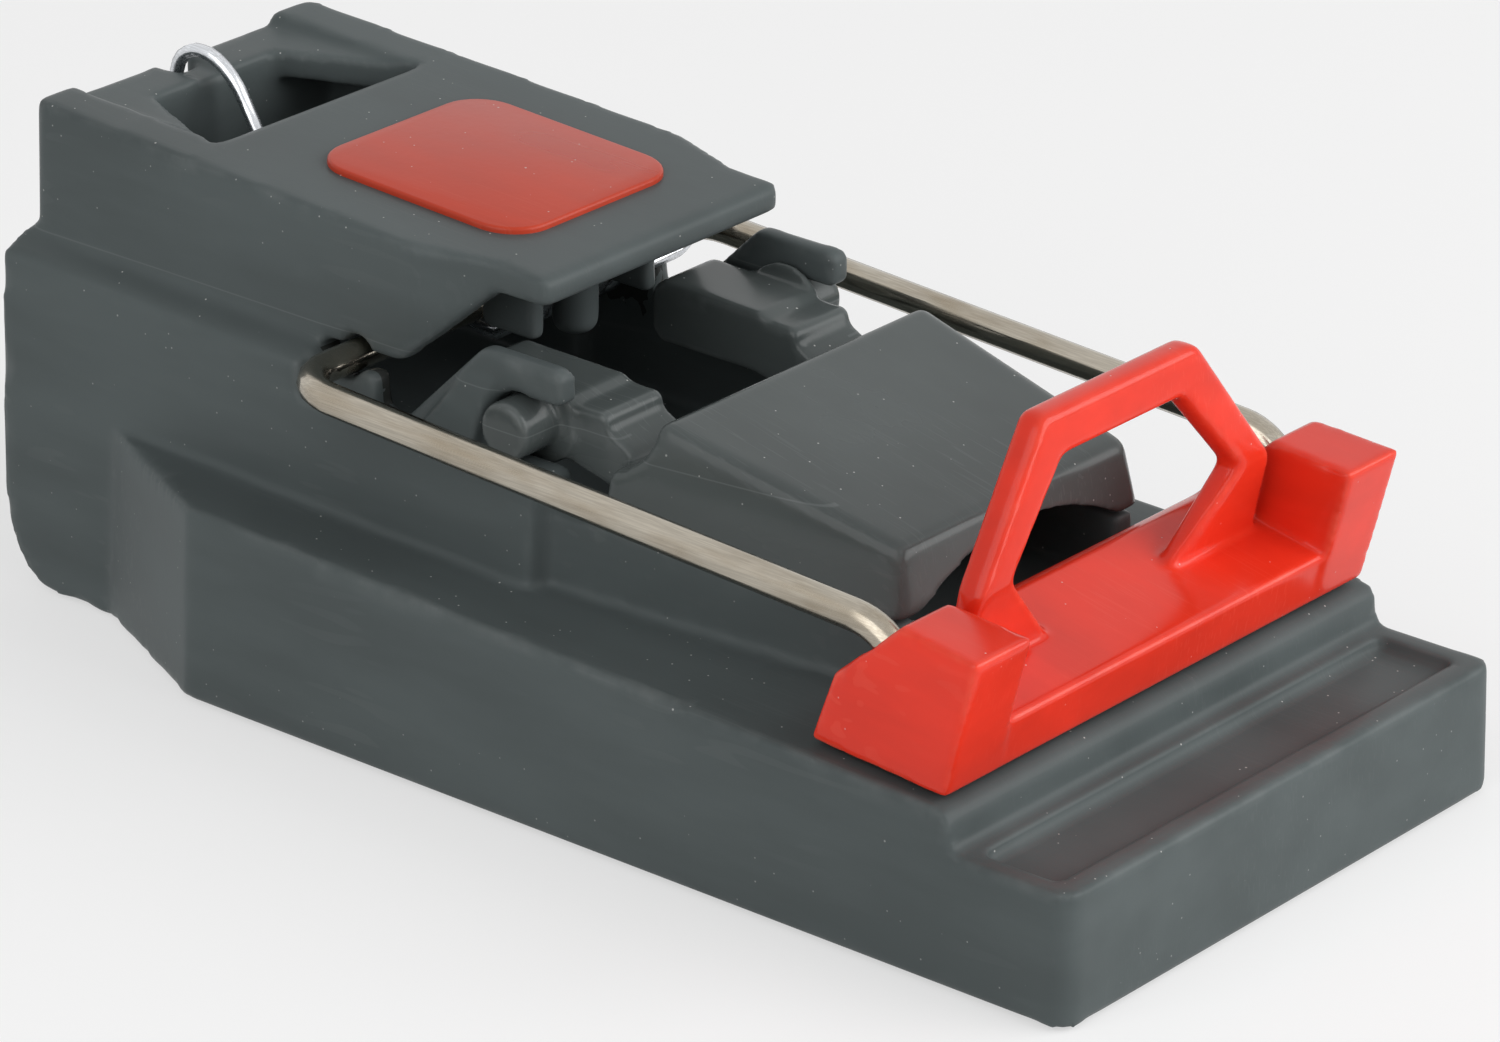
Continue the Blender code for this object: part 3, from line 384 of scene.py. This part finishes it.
def moulded_plastic(
    name,
    colour,
    rub,
    roughness,
    shine,
    coat,
    grain,
    grain_depth,
    dusting,
    wear,
    scratches,
    seam=0.0,
    beyond=0.0,
    greasy_and_shaded=False,
):
    """Moulded plastic with its skin, rubbed edges, hairlines, dust and parting line.

    rub is the colour of worn places, grain the skin's fineness in cells to a metre, and seam the
    parting line's height, which shows only beyond a distance from the middle. A seam at height 0
    lies under the piece.
    """
    look = bpy.data.materials.new(name)
    look.use_nodes = True
    tree = look.node_tree
    shader = tree.nodes["Principled BSDF"]
    shader.inputs["Specular IOR Level"].default_value = shine
    shader.inputs["Coat Weight"].default_value = coat
    shader.inputs["Coat Roughness"].default_value = coat_roughness
    skin = use_group(tree, moulded_skin, Grain=grain)
    specks = use_group(tree, dust, Amount=dusting)["Mask"]
    worn = use_group(tree, rubbed, Amount=wear)["Mask"]
    scratched = use_group(tree, hairlines, Amount=scratches)["Mask"]
    dark = [part * patch_dark for part in colour]
    light = [min(1.0, part * patch_light) for part in colour]
    tone = blend_colour(tree, skin["Patches"], dark, light)
    tone = blend_colour(tree, worn, tone, rub)
    tone = blend_colour(tree, math_node(tree, "MULTIPLY", scratched, hairline_strength), tone, rub)
    flash = use_group(tree, parting, Height=seam, Beyond=beyond)["Mask"]
    tone = blend_colour(tree, math_node(tree, "MULTIPLY", flash, flash_strength), tone, rub)
    gloss = between(tree, skin["Patches"], 0.0, 1.0, roughness + patch_smooth, roughness + patch_rough)
    gloss = math_node(tree, "SUBTRACT", gloss, math_node(tree, "MULTIPLY", worn, rub_polish))
    # Grease on the saddles, darkened further as painted shade in the gap under the ears.
    if greasy_and_shaded:
        grease_and_shade_mask = use_group(tree, grease_and_shade)["Mask"]
        tone = blend_colour(tree, math_node(tree, "MULTIPLY", grease_and_shade_mask, grease_and_shade_cover), tone, grease_and_shade_colour)
        polish = math_node(tree, "MULTIPLY", grease_and_shade_mask, grease_polish)
        gloss = math_node(tree, "SUBTRACT", gloss, polish, clamp=True)
    tone = blend_colour(tree, math_node(tree, "MULTIPLY", specks, dust_cover), tone, dust_colour)
    gloss = math_node(tree, "ADD", gloss, math_node(tree, "MULTIPLY", specks, dust_dullness), clamp=True)
    bump = put(tree, "Bump", {"Strength": 1.0, "Distance": grain_depth, "Height": skin["Height"]})
    tree.links.new(tone, shader.inputs["Base Color"])
    tree.links.new(gloss, shader.inputs["Roughness"])
    tree.links.new(bump.outputs[0], shader.inputs["Normal"])
    return look


grey_rub = (0.150, 0.165, 0.165)
satin_grey = moulded_plastic(
    "Satin grey plastic",
    colour=(0.082, 0.097, 0.098),
    rub=grey_rub,
    roughness=0.38,
    shine=0.09,
    coat=0.03,
    grain=5200.0,
    grain_depth=0.000004,
    dusting=0.60,
    wear=0.6,
    scratches=0.3,
    seam=0.0283,
    beyond=0.0130,
    greasy_and_shaded=True,
)

# Above the deck the side walls lean in, on a slope that would reach the shoulders' own lean at
# the shoulders' height.
wall_side = 0.01889  # just inside their outer faces
wall_foot = 0.0154
shoulder_height = 0.0270
shoulder_lean = 0.0005
lean_merge = 2e-5
base_grid = 0.00035
base_mesh = merged_copy("base")
for vert in base_mesh.verts:
    if abs(vert.co.x) > wall_side and vert.co.z > wall_foot:
        lean = shoulder_lean * (vert.co.z - wall_foot) / (shoulder_height - wall_foot)
        vert.co.x -= math.copysign(lean, vert.co.x)
bmesh.ops.remove_doubles(base_mesh, verts=base_mesh.verts, dist=lean_merge)
soften(base_mesh, base_grid, passes=5, least_length=0.007)
show_in_place("moulded_base", "base", "base", base_mesh, satin_grey)


# ---- Pedal -------------------------------------------------------------------
# One dark grey moulding, smoother than the base: the lid over the bait, two arms and the two
# pins it turns on. Its edges are fine, and dust shows on it more.

smooth_grey = moulded_plastic(
    "Smooth dark grey plastic",
    colour=(0.074, 0.086, 0.085),
    rub=grey_rub,
    roughness=0.24,
    shine=0.17,
    coat=0.08,
    grain=2600.0,
    grain_depth=0.000002,
    dusting=0.75,
    wear=0.7,
    scratches=0.6,
    seam=0.0261,
    beyond=0.0125,
)

pedal_grid = 0.00020
pedal_mesh = merged_copy("trip_pedal")
soften(pedal_mesh, pedal_grid, passes=8)
show_in_place("bait_pedal", "trip_pedal", "pedal", pedal_mesh, smooth_grey)


# ---- Kill bar ----------------------------------------------------------------
# One bent steel wire with a nickel finish. Drawing the wire leaves fine lines along it, and
# cloudy dull stains lie along its length.

drawn, drawn_in, drawn_out = new_group("Drawn wire", [("Amount", 1.0)], ["Height", "Lines", "Stain"])
place = put(drawn, "TexCoord").outputs["Object"]
wire_stretch = (9000.0, 160.0, 9000.0)  # the lines run along the arms
across = put(drawn, "Mapping", {"Vector": place, "Scale": wire_stretch})
lines = put(drawn, "TexNoise", {"Vector": across.outputs[0], "Scale": 1.0, "Detail": 2.0}).outputs["Fac"]
drawn.links.new(math_node(drawn, "MULTIPLY", lines, drawn_in["Amount"]), drawn_out["Height"])
drawn.links.new(between(drawn, lines, 0.40, 0.66), drawn_out["Lines"])
cloudy = put(drawn, "Mapping", {"Vector": place, "Scale": (1.0, 0.25, 1.0)})
stain = put(drawn, "TexNoise", {"Vector": cloudy.outputs[0], "Scale": 520.0, "Detail": 4.0}).outputs["Fac"]
drawn.links.new(between(drawn, stain, 0.48, 0.72), drawn_out["Stain"])


wire_dusting = 0.08
wire_dust_colour = (0.7, 0.7, 0.68)
wire_dust_cover = 0.6
dull_share = 0.82  # of the metal's own colour, between its drawn lines
line_rough, line_smooth = 0.06, -0.03  # added to its roughness
stain_dullness = 0.12


def wire_finish(name, colour, stain, roughness, line_depth, staining):
    """Plated steel wire with drawn lines, cloudy stains and a few specks of dust."""
    look = bpy.data.materials.new(name)
    look.use_nodes = True
    tree = look.node_tree
    shader = tree.nodes["Principled BSDF"]
    shader.inputs["Metallic"].default_value = 1.0
    wire = use_group(tree, drawn)
    specks = use_group(tree, dust, Amount=wire_dusting)["Mask"]
    dull = [part * dull_share for part in colour]
    tone = blend_colour(tree, wire["Lines"], dull, colour)
    tone = blend_colour(tree, math_node(tree, "MULTIPLY", wire["Stain"], staining), tone, stain)
    tone = blend_colour(tree, math_node(tree, "MULTIPLY", specks, wire_dust_cover), tone, wire_dust_colour)
    gloss = between(tree, wire["Lines"], 0.0, 1.0, roughness + line_rough, roughness + line_smooth)
    dulled = math_node(tree, "MULTIPLY", wire["Stain"], stain_dullness)
    gloss = math_node(tree, "ADD", gloss, dulled, clamp=True)
    bump = put(tree, "Bump", {"Strength": 1.0, "Distance": line_depth, "Height": wire["Height"]})
    tree.links.new(tone, shader.inputs["Base Color"])
    tree.links.new(gloss, shader.inputs["Roughness"])
    tree.links.new(bump.outputs[0], shader.inputs["Normal"])
    return look


nickel = wire_finish(
    "Nickel steel wire",
    colour=(0.47, 0.43, 0.36),
    stain=(0.24, 0.19, 0.13),
    roughness=0.15,
    line_depth=0.000005,
    staining=0.60,
)
show_in_place("kill_bar_wire", "kill_bar", "kill_bar", merged_copy("kill_bar"), nickel)


# ---- Striker -----------------------------------------------------------------
# One red-orange gloss moulding, moulded round the ends of the bar: thick end blocks, a rail
# between them, and the six-sided finger loop.

gloss_red = moulded_plastic(
    "Gloss red plastic",
    colour=(0.75, 0.034, 0.014),
    rub=(0.86, 0.12, 0.075),
    roughness=0.20,
    shine=0.18,
    coat=0.12,
    grain=1500.0,
    grain_depth=0.0000025,
    dusting=0.35,
    wear=0.5,
    scratches=0.4,
)

# The finger loop leans back a little, and its two legs stand on the rail between the blocks. Each
# corner of its outline is given where the CAD solid has it and where it belongs, by its distance
# from the middle and its height.
loop_front, loop_middle, loop_rear = -0.0390, -0.0374, -0.0358
loop_half_width, loop_base = 0.0183, 0.0240
loop_lean, loop_upright, loop_thinner = 0.105, 0.0288, 0.0003
corner_reach = 0.0012
loop_corners = (
    ((0.0178, 0.0252), (0.0172, 0.0252)),
    ((0.0125, 0.0260), (0.0133, 0.0253)),
    ((0.0086, 0.0363), (0.0090, 0.0359)),
    ((0.0070, 0.0325), (0.0070, 0.0324)),
)
# The front of its foot, where it meets the rail's sloping top, is set back along that slope.
foot_height, foot_rear, foot_half_width = 0.0194, -0.0378, 0.0180
foot_back, foot_lift = 0.0012, 0.00024

striker_grid = 0.00021
striker_mesh = merged_copy("striker")
for vert in striker_mesh.verts:
    here = vert.co
    if here.z < foot_height and loop_front < here.y < foot_rear and abs(here.x) < foot_half_width:
        here.y += foot_back
        here.z += foot_lift
    if loop_front < here.y < loop_rear and here.z > loop_base and abs(here.x) < loop_half_width:
        flat = Vector((abs(here.x), here.z))
        for corner, moved in loop_corners:
            if (flat - Vector(corner)).length < corner_reach:
                flat += Vector(moved) - Vector(corner)
                break
        lean = loop_lean * (flat.y - loop_upright) - (loop_thinner if here.y > loop_middle else 0.0)
        vert.co = Vector((math.copysign(flat.x, here.x), here.y + lean, flat.y))
soften(striker_mesh, striker_grid, passes=11)
show_in_place("striker_moulding", "striker", "kill_bar", striker_mesh, gloss_red)


# ---- Torsion spring ----------------------------------------------------------
# One hard steel wire with a bright zinc finish, wound round the axle. One end hooks over the
# notched rear wall through the window, and the other lies over the bar's far arm.

zinc = wire_finish(
    "Bright zinc wire",
    colour=(0.72, 0.74, 0.77),
    stain=(0.45, 0.46, 0.48),
    roughness=0.20,
    line_depth=0.000003,
    staining=0.35,
)

spring_fullness = 0.00006  # the wire's few flats are brought out this far, towards its full round
spring_mesh = merged_copy("torsion_spring")
spring_mesh.normal_update()
for vert in spring_mesh.verts:
    vert.co += vert.normal * spring_fullness
    vert.co.y = min(vert.co.y, cad_box[1][1])
    vert.co.z = min(vert.co.z, cad_box[1][2])
show_in_place("torsion_spring_wire", "torsion_spring", "base", spring_mesh, zinc)


# ---- Plain pad on the tower --------------------------------------------------
# A flat pad with round corners, let into the tower's sloping top. It is painted brick red over
# the moulding's grain, and it is bare.

pad_centre = (0.0, 0.0203)
pad_size = (0.0190, 0.0205)
pad_corner = 0.0035
pad_edge = 0.00025
pad_rise = 0.0005  # over the roof, and as much under it
roof_height = 0.0386
roof_slope = 0.049
roof_rear = 0.0536

painted_red = moulded_plastic(
    "Painted brick red",
    colour=(0.50, 0.050, 0.022),
    rub=(0.66, 0.15, 0.09),
    roughness=0.30,
    shine=0.16,
    coat=0.05,
    grain=1900.0,
    grain_depth=0.000006,
    dusting=0.5,
    wear=0.8,
    scratches=0.3,
)
pad = bmesh.new()
bmesh.ops.create_grid(pad, x_segments=1, y_segments=1, size=0.5)
bmesh.ops.scale(pad, verts=pad.verts, vec=(*pad_size, 1.0))
bmesh.ops.bevel(
    pad,
    geom=list(pad.verts),
    offset=pad_corner,
    offset_type="OFFSET",
    segments=8,
    profile=0.5,
    affect="VERTICES",
    material=-1,
    clamp_overlap=False,
)
raised = bmesh.ops.extrude_face_region(pad, geom=pad.faces[:])
top = [item for item in raised["geom"] if isinstance(item, bmesh.types.BMVert)]
bmesh.ops.translate(pad, verts=top, vec=(0, 0, 2 * pad_rise))
bmesh.ops.recalc_face_normals(pad, faces=pad.faces)
rim = [e for e in pad.edges if all(v.co.z > pad_rise for v in e.verts)]
bmesh.ops.bevel(
    pad,
    geom=rim,
    offset=pad_edge,
    offset_type="OFFSET",
    segments=3,
    profile=0.5,
    affect="EDGES",
    material=-1,
    clamp_overlap=False,
)
for vert in pad.verts:
    vert.co.x += pad_centre[0]
    vert.co.y += pad_centre[1]
    vert.co.z += roof_height - roof_slope * (roof_rear - vert.co.y) - pad_rise
for face in pad.faces:
    face.smooth = True
pad_data = bpy.data.meshes.new("roof_pad")
pad.to_mesh(pad_data)
pad.free()
pad_data.set_sharp_from_angle(angle=crease_angle)
pad_data.materials.append(painted_red)
roof_pad = bpy.data.objects.new("roof_pad", pad_data)
scene.collection.objects.link(roof_pad)
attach(roof_pad, "base")
